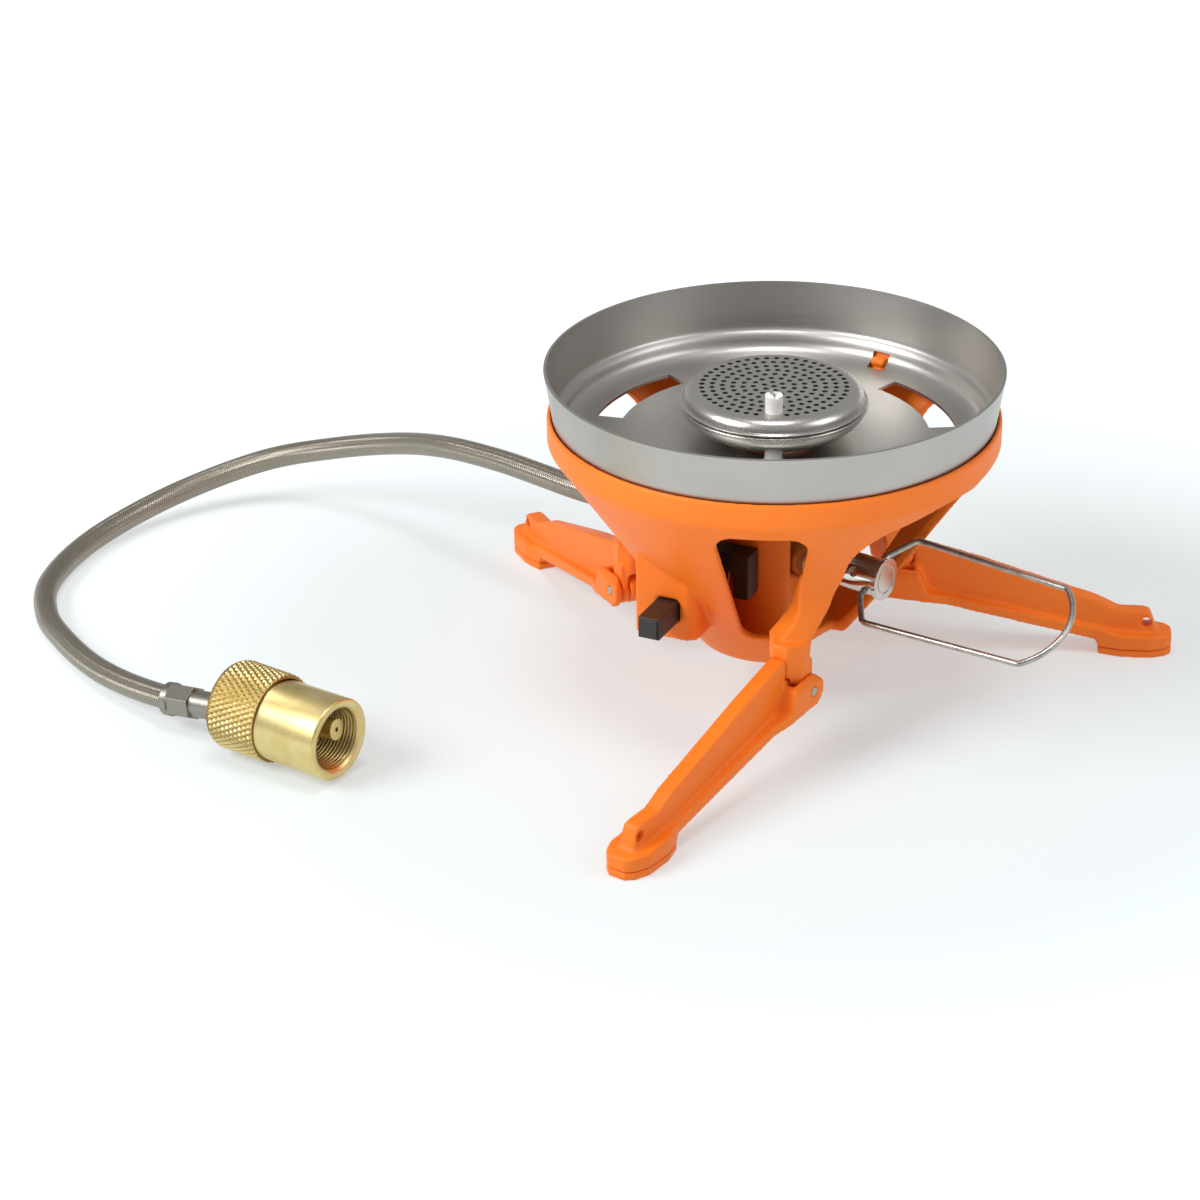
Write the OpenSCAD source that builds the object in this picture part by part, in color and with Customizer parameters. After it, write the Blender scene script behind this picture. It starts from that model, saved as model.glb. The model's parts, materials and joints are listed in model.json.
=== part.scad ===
// Remote-canister camping burner: a steel flame ring and burner head in a plastic body on three
// folding legs, with a needle valve, a piezo igniter and a braided hose that ends in a brass nut.
// Millimetres. Z is up, the floor is z = 0 and the ring's axis is the Z axis.

/* [Flame ring] */
// Outer radius of the steel ring at its rim
ring_r = 60; // [59.5:0.1:60.5]
// Height of the rim above the floor
rim_z = 92; // [91.5:0.1:93]
// Thickness of the ring's sheet steel
sheet = 0.8; // [0.6:0.1:0.9]
// Height of the underside of the ring's floor
dish_z = 72; // [71.8:0.1:72.2]
// Radius of the hole around the burner's neck
dish_hole_r = 13; // [12.5:0.1:13.2]

/* [Body] */
// Outer radius of the plastic collar
collar_r = 59.4; // [59.3:0.1:60]
// Height of the collar's top edge
collar_z = 79.5; // [79.3:0.1:79.8]
// Height at which the collar turns into the funnel
funnel_z = 72.6; // [72:0.2:73]
// Change of the funnel's radius for each millimetre of height
funnel_slope = 0.69; // [0.68:0.01:0.7]
// Wall thickness of the body, measured level
wall = 3; // [2.6:0.1:3.2]
// Height of the body's flat base
base_z = 14.5; // [14:0.5:15]
// Azimuth of the middle of the front window; two more follow at 120 degree steps
window_az = 267; // [265:1:268]
// First and last azimuth of the large arch around the knob
arch_az = [295, 350];

/* [Legs] */
// Distance of the leg hinges from the axis
hinge_r = 41; // [40.8:0.1:41.2]
// Azimuth of the first leg's hinge
hinge_az = 277.7; // [277:0.1:278]
// Height of the leg hinges
hinge_z = 20; // [20:0.1:20.2]
// Azimuth in which the first leg points
leg_az = 236.4; // [236:0.1:237]
// Thickness of a leg's web
web_t = 4.6; // [4:0.1:4.8]
// Radius of a hinge pin
pin_r = 1.2; // [1:0.05:1.2]

/* [Burner] */
// Radius of the burner head at its crimped seam
head_r = 24.6; // [24:0.1:25]
// Height of the burner's flat top
head_z = 86.2; // [86:0.1:86.4]
// Radius of the igniter's ceramic post
ceramic_r = 2.3; // [2:0.1:2.4]

/* [Valve] */
// Azimuth in which the knob points
valve_az = 326.7; // [326:0.1:327]
// Height of the valve's axis
valve_z = 40; // [39.8:0.1:40.2]
// Radius of the knob
knob_r = 5; // [4.8:0.1:5.2]
// Angle of the knob's cross axis above level
bail_tilt = 25; // [20:1:30]
// Diameter of the handle's wire
wire_d = 1.6; // [1.4:0.1:1.6]

/* [Igniter] */
// Azimuth in which the igniter button points
button_az = 247; // [246:1:248]
// Side of the square button
button_w = 5.8; // [5.6:0.1:5.8]
// Height of the button's axis
button_z = 36.7; // [36.5:0.1:36.9]

/* [Hose] */
// Outer diameter of the braided hose
hose_d = 6.5; // [6:0.1:6.5]
// Azimuth in which the brass nut points
nut_az = 327; // [326:1:328]
// Radius of the nut's knurled grip
knurl_r = 12.1; // [12:0.1:12.1]

/* [Hidden] */
$fn = 64;

orange = [0.93, 0.42, 0.13];
steel = [0.68, 0.67, 0.65];
brass = [0.82, 0.70, 0.38];
nickel = [0.78, 0.77, 0.74];
black = [0.08, 0.08, 0.08];
braid = [0.45, 0.43, 0.40];
ceramic_white = [0.95, 0.95, 0.93];

gap = 0.15;        // play between pieces that move against each other
fit = 0.05;        // radial clearance of a pin or shaft in its hole

// ---- functions ----
function dir(a) = [cos(a), sin(a), 0];
function funnel_r(z) = collar_r - 0.4 - funnel_slope * (funnel_z - 0.6 - z);
function unit(v) = v / norm(v);

// Points of an arc about c, from angle a to angle b
function arc(c, r, a, b, n = 8) = [for (i = [0 : n]) c + r * [cos(a + (b - a) * i / n), sin(a + (b - a) * i / n)]];

// Fillet of radius r at point q between points p and s
function fillet(p, q, s, r, n = 6) =
  let (u = unit(p - q), v = unit(s - q), half = acos(u * v) / 2, d = r / tan(half),
       c = q + unit(u + v) * r / sin(half), a = q + u * d - c, b = q + v * d - c)
  [for (i = [0 : n]) let (t = i / n, w = unit(a * (1 - t) + b * t)) c + w * r];

// Outline with every corner rounded: each entry is [x, y, radius]
function rounded(p) = let (n = len(p))
  [for (i = [0 : n - 1])
    let (a = p[(i + n - 1) % n], b = p[i], c = p[(i + 1) % n])
    each b[2] > 0 ? fillet([a[0], a[1]], [b[0], b[1]], [c[0], c[1]], b[2]) : [[b[0], b[1]]]];

// A sheet of thickness t on the left side of an open line
function sheet_outline(p, t) = let (n = len(p),
  q = [for (i = [0 : n - 1]) let (d = unit(p[min(i + 1, n - 1)] - p[max(i - 1, 0)])) p[i] + t * [-d[1], d[0]]])
  concat(p, [for (i = [n - 1 : -1 : 0]) q[i]]);

// Point of the smooth curve through the points w, at t between point i and the next
function curve_at(w, i, t) = let (n = len(w) - 1, a = w[i], b = w[min(i + 1, n)],
  p = i > 0 ? w[i - 1] : a, q = i + 2 > n ? b : w[i + 2], m = (b - p) / 2, k = (q - a) / 2)
  (2 * t * t * t - 3 * t * t + 1) * a + (t * t * t - 2 * t * t + t) * m
  + (3 * t * t - 2 * t * t * t) * b + (t * t * t - t * t) * k;
function smooth_line(w, steps) = concat(
  [for (i = [0 : len(w) - 2], j = [0 : steps - 1]) curve_at(w, i, j / steps)], [w[len(w) - 1]]);
function line_dir(w, i) = unit(w[min(i + 1, len(w) - 1)] - w[max(i - 1, 0)]);

// ---- placing ----
// Local X points outwards at azimuth a, local Y runs counter-clockwise, Z is up
module at_az(a, r = 0, z = 0) translate([r * cos(a), r * sin(a), z]) rotate([0, 0, a]) children();

// A plate drawn in local Y and Z, running from x0 to x1 outwards
module radial_plate(x0, x1) translate([x0, 0, 0]) rotate([90, 0, 90]) linear_extrude(x1 - x0) children();

// A round bar along local X from x0 to x1
module bar_x(r, x0, x1) translate([x0, 0, 0]) rotate([0, 90, 0]) cylinder(r = r, h = x1 - x0);

// Leg frame k: origin on the hinge, X along the leg, Y along the hinge pin
module at_leg(k) rotate([0, 0, 120 * (k - 1)])
  translate([hinge_r * cos(hinge_az), hinge_r * sin(hinge_az), hinge_z]) rotate([0, 0, leg_az]) children();

// A plate drawn in the leg's X and Z, running from y0 to y1 along the pin
module leg_plate(y0, y1) translate([0, y1, 0]) rotate([90, 0, 0]) linear_extrude(y1 - y0) children();

// Valve frame: X outwards along the knob's axis, Z up
module at_valve() at_az(valve_az, 0, valve_z) children();

// Button frame: X outwards along the button, Y along the block's face, Z up, on the button's axis
button_off = -12.3;    // distance of the button's axis from the stove's axis, along the block's face
module at_button() rotate([0, 0, button_az]) translate([0, button_off, button_z]) children();

// A round tube of m sides along the line w
module swept(w, r, m) {
  n = len(w);
  points = [for (i = [0 : n - 1])
    let (d = line_dir(w, i), s = unit(cross([0.08, 0.05, 1], d)), u = cross(d, s))
    for (j = [0 : m - 1]) w[i] + r * (cos(360 * j / m) * s + sin(360 * j / m) * u)];
  sides = [for (i = [0 : n - 2], j = [0 : m - 1]) let (k = (j + 1) % m)
    each [[i * m + j, i * m + k, (i + 1) * m + k], [i * m + j, (i + 1) * m + k, (i + 1) * m + j]]];
  caps = [[for (j = [m - 1 : -1 : 0]) j], [for (j = [0 : m - 1]) (n - 1) * m + j]];
  polyhedron(points, concat(sides, caps), convexity = 6);
}

// ---- body ----
base_r = 16.5;             // radius at which the base starts to round upwards
lip_in = 58.25;            // inner radius of the collar's lip
tine = [2.45, 4.65];       // inner and outer face of a hinge tine, from the leg's middle plane
post_top_z = 52;
post_out_r = 43.2;
block_face = 39.6;         // distance of the igniter block's front face from the axis
block_w = 17;

module body_outer() rotate_extrude($fn = 96) polygon(concat(
  [[0, base_z], [base_r, base_z]],
  fillet([base_r - 4, base_z], [funnel_r(base_z), base_z], [funnel_r(30), 30], 3.6),
  [[funnel_r(30), 30]],
  fillet([funnel_r(60), 60], [collar_r, funnel_z], [collar_r, collar_z], 2),
  [[collar_r, collar_z - 0.5], [collar_r - 0.5, collar_z], [0, collar_z]]));

module body_inner() rotate_extrude($fn = 96) polygon([
  [0, base_z + 2.5], [funnel_r(base_z + 2.5) - wall - 1, base_z + 2.5], [funnel_r(base_z + 4) - wall, base_z + 4],
  [funnel_r(71.5) - wall, 71.5], [55.6, 73], [56.1, 75.3], [56.5, 76.6], [57.3, 77.2],
  [lip_in, 78.2], [lip_in, collar_z + 1], [0, collar_z + 1]]);

// Window cut in local Y and Z: its sides keep a constant azimuth up the funnel
module window_cut() radial_plate(14, 70)
  polygon(rounded([[-5.9, 26.2, 4.4], [5.9, 26.2, 4.4], [12.2, 68.6, 4.6], [-12.2, 68.6, 4.6]]));

module arch_cut() at_az((arch_az[0] + arch_az[1]) / 2) radial_plate(12, 72)
  polygon(rounded([[-9, 4, 0], [9, 4, 0], [13.2, 28, 3], [25.6, 64.5, 8], [5, 70.2, 20], [-5, 70.2, 20],
                   [-25.6, 64.5, 8], [-13.2, 28, 3]]));

// Strut from the funnel down to the hinge, as a slice of a ring
module post_envelope() rotate_extrude() polygon([
  [funnel_r(post_top_z) - wall + 0.2, post_top_z], [funnel_r(post_top_z), post_top_z],
  [post_out_r, 46], [post_out_r + 0.4, 36], [post_out_r + 1.4, 25.2], [36, 25.2], [35, 38],
  [funnel_r(44) - wall + 0.2, 44]]);

module post() {
  // upper part: leans from the hinge to the strip of wall beside the window
  intersection() {
    post_envelope();
    at_az(284) radial_plate(25, 60)
      polygon([[-9.2, 26], [-1.2, 26], [-0.1, 34], [4.4, 42], [8.4, 53], [-3.6, 53], [-3.6, 42.6], [-5, 38.5],
               [-9.2, 33]]);
  }
  // lower part: a chamfered block, split into two tines around the leg's web
  at_leg(1) difference() {
    union() {
      translate([0, 0, 3]) linear_extrude(10.8)
        polygon([[6.3, -2.4], [6.3, 2.4], [2, tine[1]], [-0.6, tine[1]], [-4, 2.4], [-4, -2.4],
                 [-0.6, -tine[1]], [2, -tine[1]]]);
      leg_plate(-tine[1], tine[1]) circle(r = 4);
      translate([-2.6, -tine[1], 0]) cube([5.2, 2 * tine[1], 8]);
    }
    translate([-8, -tine[0], -6]) cube([20, 2 * tine[0], 11.2]);
    leg_plate(-9, 9) circle(r = pin_r + 0.02);
  }
}

module igniter_block_solid() at_button() translate([0, 0, -8.2]) linear_extrude(22)
  polygon([[10, -9.3], [block_face, -9.3], [block_face, 5.4], [block_face - 2, 7.7], [10, 7.7]]);

module igniter_block_hollow() at_button() {
  translate([8, -4.6, -4.6]) cube([block_face - 10.2, 9.2, 9.2]);
  translate([20, -button_w / 2 - 0.2, -button_w / 2 - 0.2]) cube([30, button_w + 0.4, button_w + 0.4]);
}

tab_az = 58;              // azimuth of the first snap tab that holds the ring
module snap_tab() intersection() {
  body_outer();
  at_az(tab_az) {
    translate([47.6, -1.2, 66]) cube([9, 2.4, dish_z - 66]);
    translate([53.4, -2.1, 66]) cube([4.2, 4.2, 5.7]);
    translate([53.4, -2.1, 66]) cube([1.6, 4.2, 9.4]);
    translate([52.4, -2.1, 73.4]) cube([2.6, 4.2, 2]);
  }
}

// Inner wall that hides the valve behind the front window
shroud_r = 13.4;
module shroud() rotate([0, 0, 204]) rotate_extrude(angle = 88)
  translate([shroud_r - 1.8, base_z + 1]) square([1.8, 50]);

module body_shell() color(orange) difference() {
  union() {
    difference() {
      union() {
        body_outer();
        intersection() {
          igniter_block_solid();
          cylinder(r = 58, h = 60);
        }
      }
      body_inner();
      for (k = [0 : 2]) rotate([0, 0, 120 * k]) at_az(window_az) window_cut();
      arch_cut();
    }
    for (k = [0 : 2]) rotate([0, 0, 120 * k]) post();
    for (k = [0 : 2]) rotate([0, 0, 120 * k]) snap_tab();
    // walls of the igniter block inside the funnel
    difference() {
      intersection() {
        igniter_block_solid();
        translate([0, 0, base_z + 1]) cylinder(r1 = funnel_r(base_z + 1) - 1, r2 = funnel_r(52) - 1, h = 51 - base_z);
      }
      at_button() translate([8, -block_w, 4.15]) cube([20, 2 * block_w, 20]);
      at_button() translate([-10, -block_w, -20]) cube([30, 2 * block_w, 50]);
    }
    shroud();
    // pillar under the valve
    translate([0, 0, base_z + 1]) cylinder(r = 7, h = 32.3 - base_z);
  }
  igniter_block_hollow();
  translate([0, 0, base_z - 1]) cylinder(r = 3.4, h = 3);
  translate([0, 0, base_z - 1]) cylinder(r = 1.6, h = 22);
}

// ---- flame ring ----
electrode_y = -16.6;      // the igniter's ceramic post stands this far in front of the axis
ring_line = [[ring_r, rim_z], [58.1, 79.9], [58, 78.8], [57, 77.7], [56.2, 77], [55.8, 75.6], [55.2, 74.2],
             [53.8, 73], [51.6, 72.3], [49.5, dish_z], [30, dish_z], [dish_hole_r, dish_z]];

module ring_window() rotate_extrude(angle = 40.9, $fn = 96) translate([40.9, dish_z - 2]) square([7.2, 5]);

module flame_ring() color(steel) difference() {
  rotate_extrude($fn = 128) polygon(sheet_outline(ring_line, -sheet));
  for (k = [0 : 2]) rotate([0, 0, 6.3 + 120 * k]) ring_window();
  for (k = [0 : 2]) rotate([0, 0, 120 * k]) at_az(tab_az) translate([50.8, -2.5, dish_z - 1]) cube([7, 5, 5.2]);
  translate([0, electrode_y, dish_z - 1]) cylinder(r = ceramic_r + 0.5, h = 3);
}

// ---- burner ----

module burner_cap() color(steel) difference() {
  rotate_extrude($fn = 96) polygon(concat(
    [[0, head_z - 1], [20.2, head_z - 1]], [[21.6, head_z - 1.6], [22.7, head_z - 3], [22.9, 82.4]],
    [[head_r, 82.4], [head_r, 83.1], [23.9, 83.4]],
    arc([20.4, head_z - 3.4], 3.4, 10, 90, 6), [[0, head_z]]));
  translate([0, electrode_y, 80]) cylinder(r = ceramic_r + fit, h = 8);
}

cup_line = [[head_r, 82.4], [head_r, 81.6], [24, 81], [23, 78.8], [20.8, 76.8], [18, 75.3], [14, 73.8], [10.6, 72.6],
            [9, 71], [8.4, 69], [8.4, 64]];
module burner_cup() color(steel) difference() {
  rotate_extrude($fn = 96) polygon(sheet_outline(cup_line, -0.8));
  translate([0, electrode_y, 70]) cylinder(r = ceramic_r + fit, h = 12);
}

module burner_screen() color([0.3, 0.3, 0.3]) difference() {
  translate([0, 0, 82.6]) cylinder(r = 22.75, h = 0.6);
  translate([0, electrode_y, 82]) cylinder(r = ceramic_r + 0.2, h = 3);
}

module mixing_tube() color(brass) difference() {
  translate([0, 0, 48.2]) cylinder(r = 7.6, h = 20.8);
  translate([0, 0, 47]) cylinder(r = 6.2, h = 23);
  for (a = [20, 110]) rotate([0, 0, a]) translate([0, 0, 53]) bar_x(2.4, -10, 10);
}

module gas_jet() color(brass) difference() {
  union() {
    translate([0, 0, 46.5]) cylinder(r = 2.4, h = 5);
    translate([0, 0, 51.5]) cylinder(r1 = 2.4, r2 = 1.4, h = 1.4);
  }
  translate([0, 0, 46]) cylinder(r = 0.35, h = 8);
}

module electrode_ceramic() color(ceramic_white) difference() {
  translate([0, electrode_y, 66]) cylinder(r = ceramic_r, h = 24.9);
  translate([0, electrode_y, 65]) cylinder(r = 0.42, h = 28);
  translate([0, electrode_y, 91.4]) rotate([0, 0, 20]) rotate([90, 0, 0]) rotate([0, 0, 45])
    cube([1.5, 1.5, 8], center = true);
}

module electrode_wire() color(steel) swept(
  [[0, electrode_y, 62], [0, electrode_y, 91], [-0.7, electrode_y + 0.4, 92.1], [-1.1, electrode_y + 1.6, 92.4]],
  0.35, 8);

// ---- valve ----
spindle_r = 2.4;
module valve_body() color(brass) difference() {
  union() {
    at_valve() bar_x(6.4, -14, 14);
    translate([0, 0, 33.3]) cylinder(r = 6.2, h = 14.7);
    translate([0, 0, 44.4]) cylinder(r = 7.3, h = 3.8);
  }
  at_valve() bar_x(spindle_r + fit, 2, 16);
  at_valve() bar_x(1.6, -16, 3);
  translate([0, 0, 40]) cylinder(r = 1.2, h = 10);
  translate([0, 0, 46.5]) cylinder(r = 2.4, h = 3);
  translate([0, 0, 30]) cylinder(r = 1.5, h = 6);
}

module gland_nut() color(brass) at_valve() difference() {
  translate([14, 0, 0]) rotate([0, 90, 0]) cylinder(r = 7, h = 5.5, $fn = 6);
  bar_x(spindle_r + fit, 13, 20);
  bar_x(3.6, 16.5, 20);
}

module base_screw() color(steel) {
  translate([0, 0, base_z - 0.3]) cylinder(r = 3.1, h = 2.3);
  translate([0, 0, base_z + 1.9]) cylinder(r = 1.5, h = 17.6);
}

module inlet_fitting() color(brass) at_valve() difference() {
  union() {
    translate([-20, 0, 0]) rotate([0, 90, 0]) cylinder(r = 5.8, h = 6, $fn = 6);
    bar_x(2.1, -42, -20);
  }
  bar_x(1.2, -43, -13);
}

ferrule_end = -46;        // where the hose leaves its inner crimp, along the valve's axis
module hose_ferrule_inner() color(steel) at_valve() difference() {
  union() {
    bar_x(4.2, ferrule_end, -20);
    bar_x(4.6, -24, -20);
  }
  bar_x(2.1, ferrule_end - 1, -20);
  bar_x(hose_d / 2 + 0.02, ferrule_end - 1, ferrule_end + 3);
}

module valve_spindle() color(nickel) at_valve() {
  bar_x(spindle_r, 4, 30);
  translate([2.2, 0, 0]) rotate([0, 90, 0]) cylinder(r1 = 0.4, r2 = spindle_r, h = 1.8);
}

module spindle_seal() color(black) at_valve() translate([17.8, 0, 0]) rotate([0, 90, 0])
  difference() {
    cylinder(r = 3.6, h = 1.6);
    translate([0, 0, -1]) cylinder(r = spindle_r + 0.02, h = 4);
  }

knob_out = 35.5;          // distance of the knob's end face from the stove's axis
pivot_x = 31.8;           // where the wire handle's ends enter the knob
bail_in = 7;              // half width of the handle where it leaves the knob

module valve_knob() color(nickel) at_valve() difference() {
  union() {
    bar_x(knob_r, 21, knob_out - 1.2);
    bar_x(knob_r + 0.6, knob_out - 1.2, knob_out);
  }
  bar_x(spindle_r + 0.01, 20, 30.01);
  bar_x(3.7, 20, 23);
  rotate([bail_tilt, 0, 0]) translate([pivot_x, 0, 0]) rotate([90, 0, 0])
    cylinder(r = wire_d / 2 + fit, h = 20, center = true);
  rotate([155, 0, 0]) translate([28.2, 0, 0]) rotate([-90, 0, 0]) cylinder(r = 1.25, h = 10);
  translate([knob_out - 0.3, 0, 0]) rotate([0, 90, 0]) difference() {
    cylinder(r = 3.9, h = 1);
    translate([0, 0, -1]) cylinder(r = 3.5, h = 3);
  }
}

module knob_pin() color(nickel) at_valve() rotate([155, 0, 0]) translate([28.2, 0, 0]) rotate([-90, 0, 0])
  translate([0, 0, spindle_r + 0.02]) cylinder(r = 1.2, h = 1.5);

// Wire handle, drawn in the plane of the knob's axis (X) and cross axis (Y); its last point is the tip
bail_half = concat(
  [[pivot_x, 6], [pivot_x, 7.2]], arc([pivot_x + 1.5, 7.6], 1.5, 170, 120, 2),
  arc([36.8 + 1.4, 12.4], 2.6, 122, 94, 2), arc([81.6, 11.4], 1.7, 88, 54, 2), arc([71.6, 0], 17, 46, 8, 4));
bail_line = concat(bail_half,
                   [for (i = [len(bail_half) - 1 : -1 : 0]) [bail_half[i][0], -bail_half[i][1]]]);

module wire_handle() color(nickel) at_valve() rotate([bail_tilt, 0, 0]) {
  swept([for (p = bail_line) [p[0], p[1], 0]], wire_d / 2 - 0.01, 12);
  for (m = [0, 1]) mirror([0, m, 0]) translate([pivot_x, 3.2, 0]) rotate([-90, 0, 0]) cylinder(r = wire_d / 2, h = 4);
}

// ---- igniter ----
button_out = 52;          // distance of the button's face from the axis
button_in = 29;
module piezo_body() color(black) at_button() difference() {
  translate([11, -4.4, -4.6]) cube([26, 8.8, 8.8]);
  translate([button_in - 6.5, -button_w / 2 - gap, -button_w / 2 - gap]) cube([30, button_w + 2 * gap, button_w + 2 * gap]);
}

module piezo_bracket() color(black) at_button() {
  translate([14, -4.4, 4.2]) cube([6.5, 18.6, 5]);
  translate([14, 9.9, -3.2]) cube([6.5, 4.3, 8.2]);
}

module piezo_spring() color(steel) at_button() difference() {
  translate([button_in - 6.5, 0, 0]) rotate([0, 90, 0]) cylinder(r = 2.2, h = 6.5);
  translate([button_in - 7, 0, 0]) rotate([0, 90, 0]) cylinder(r = 1.6, h = 8);
}

module piezo_button() color(black) at_button() {
  translate([button_in, -button_w / 2, -button_w / 2]) cube([button_out - button_in - 0.6, button_w, button_w]);
  translate([button_out - 0.61, -button_w / 2 + 0.4, -button_w / 2 + 0.4]) cube([0.61, button_w - 0.8, button_w - 0.8]);
}

// Insulated lead from the piezo up to the electrode
lead_path = [[-15.6, -5.3, 36.7], [-14.8, -3.6, 37], [-14.6, -3.5, 40], [-13.6, -6, 48], [-11, -10.2, 54], [-7, -13.6, 58],
             [-2.5, -16, 60.5], [0, -16.6, 62], [0, -16.6, 65.8]];
module ignition_lead() color([0.8, 0.8, 0.78]) difference() {
  swept(smooth_line(lead_path, 2), 1, 8);
  translate([0, electrode_y, 61.9]) cylinder(r = 0.36, h = 6);
}

// ---- legs ----
pad_t = 2;                // thickness of the foot pad
foot_h = 6;               // height of the whole foot
web_outline = concat(
  [[6.45, 10.6], [24, 5.7], [57, -4.9], [62.4, -7.6]],
  fillet([62.4, -7.6], [70.8, -7.9], [73.7, -12], 1.5),
  [[73.7, -14.6], [62, -14.6], [9.5, -3.2], [4, -4], [0, -4.2], [0, 4.2], [6.45, 4.2]]);
flange_side = [[9.3, -2.4], [62, -13.5], [78, -14.1], [78, -hinge_z + pad_t], [57.4, -hinge_z + pad_t],
               [56.6, -15.9], [9.3, -5]];
flange_plan = [[6, 7], [11, 7], [16, 5.5], [57, 4.2], [60.5, 5.2], [63.5, 6], [71.5, 6], [75.6, 4.4], [77.3, 2.4]];
foot_plan = [for (p = flange_plan) if (p[0] > 56) p];
function both_sides(p) = concat(p, [for (i = [len(p) - 1 : -1 : 0]) [p[i][0], -p[i][1]]]);

module ear() difference() {
  union() {
    leg_plate(tine[1] + gap, 7) rotate(22.5) circle(r = 4.7, $fn = 8);
    leg_plate(tine[1] + gap, 7) polygon([[0, 4.2], [0, -4.34], [10.4, -5.3], [10.4, -2.4], [8, 3.4], [3, 4.2]]);
    leg_plate(1, 7) polygon([[6.5, -5], [10.4, -5.3], [10.4, -2.4], [8.2, 3.2], [6.5, 3.8]]);
  }
  // outer edge broken by a chamfer
  translate([0, 7.3, 5.1]) rotate([45, 0, 0]) cube([30, 4, 4], center = true);
}

module leg(k) color(orange) at_leg(k) difference() {
  union() {
    leg_plate(-web_t / 2, web_t / 2) polygon(web_outline);
    leg_plate(-web_t / 2, web_t / 2) circle(r = 4.2);
    intersection() {
      leg_plate(-9, 9) polygon(flange_side);
      translate([0, 0, -30]) linear_extrude(40) polygon(both_sides(flange_plan));
    }
    ear();
    mirror([0, 1, 0]) ear();
  }
  leg_plate(-9, 9) circle(r = pin_r + fit);
  leg_plate(-9, 9) translate([70.2, -11]) circle(r = 1.4, $fn = 24);
}

module foot_pad(k) color(orange) at_leg(k) translate([0, 0, -hinge_z]) linear_extrude(pad_t - 0.02)
  polygon(both_sides([for (p = foot_plan) [p[0] + (p[0] < 60 ? 0.4 : 0), p[1] - 0.1]]));

module hinge_pin(k) color(steel) at_leg(k) leg_plate(-6.9, 6.9) circle(r = pin_r);

module leg_1() leg(1);
module leg_2() leg(2);
module leg_3() leg(3);
module foot_pad_1() foot_pad(1);
module foot_pad_2() foot_pad(2);
module foot_pad_3() foot_pad(3);
module hinge_pin_1() hinge_pin(1);
module hinge_pin_2() hinge_pin(2);
module hinge_pin_3() hinge_pin(3);

// ---- hose and connector ----
nut_face = [-110.3, -59, knurl_r];    // centre of the nut's open end
barrel_l = 19.4;
knurl_l = 16.5;
barrel_r = 11;
thread_r = 8.1;
stem_at = [-136.3, -42, 10.3];        // the stem where it passes through the nut's back wall
stem_az = 332;
stem_rise = 5.6;                      // the stem points this many degrees above level

module at_nut() translate(nut_face) rotate([0, 0, nut_az]) children();
module at_stem() translate(stem_at) rotate([0, 0, stem_az]) rotate([0, -stem_rise, 0]) children();

module connector_nut() color(brass) at_nut() difference() {
  union() {
    bar_x(barrel_r, -barrel_l, 0);
    bar_x(knurl_r, -barrel_l - knurl_l, -barrel_l);
  }
  bar_x(thread_r, -28.5, 1);
  bar_x(5.6, -37, -28);
}

module connector_stem() color(brass) at_stem() difference() {
  union() {
    bar_x(2.85, 7.4, 28.5);
    bar_x(6.2, 5, 7.4);
    bar_x(2.9, -5.6, 5);
    bar_x(4.4, -6.5, -5.6);
    bar_x(1.9, -22, -6.5);
  }
  bar_x(0.6, -23, 29);
}

module connector_seal() color(black) at_stem() difference() {
  bar_x(5.2, 7.4, 8.8);
  bar_x(2.87, 7, 9);
}

module hose_ferrule_outer() color(steel) at_stem() difference() {
  union() {
    bar_x(4.5, -26, -24);
    translate([-24.5, 0, 0]) rotate([0, 90, 0]) cylinder(r = 4.7, h = 7.5, $fn = 6);
    bar_x(3.7, -17.5, -6.5);
  }
  bar_x(1.9, -27, -6);
  bar_x(hose_d / 2 + 0.02, -27, -23);
}

// Centre line of the hose, from the valve to the connector, in millimetres
hose_route = [
  [-36, 23.6, 40], [-38.5, 25.3, 40], [-46, 30.2, 40], [-54.8, 36.2, 40], [-65, 45, 39.7], [-77, 56.5, 38.6], [-93, 72, 35.5],
  [-109, 89, 29], [-130, 103, 21], [-153, 108.5, 14], [-179, 98.5, 7], [-198.5, 75, 3.6], [-206, 48, 3.3],
  [-203, 27, 3.3], [-195, 11, 3.4], [-184, -5, 4], [-172, -18.5, 5.7], [-159.1, -29.9, 7.8], [-156.5, -31.3, 8.1]
];
module hose() color(braid) swept(smooth_line(hose_route, 3), hose_d / 2, 10);

body_shell();
flame_ring();
burner_cap();
burner_cup();
burner_screen();
mixing_tube();
gas_jet();
electrode_ceramic();
electrode_wire();
ignition_lead();
valve_body();
gland_nut();
base_screw();
inlet_fitting();
hose_ferrule_inner();
piezo_body();
piezo_bracket();
piezo_spring();
hinge_pin_1();
hinge_pin_2();
hinge_pin_3();
valve_spindle();
spindle_seal();
valve_knob();
knob_pin();
wire_handle();
piezo_button();
leg_1();
leg_2();
leg_3();
foot_pad_1();
foot_pad_2();
foot_pad_3();
hose();
hose_ferrule_outer();
connector_stem();
connector_seal();
connector_nut();
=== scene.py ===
import json
import math

import bmesh
import bpy
from mathutils import Matrix, Vector


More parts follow.
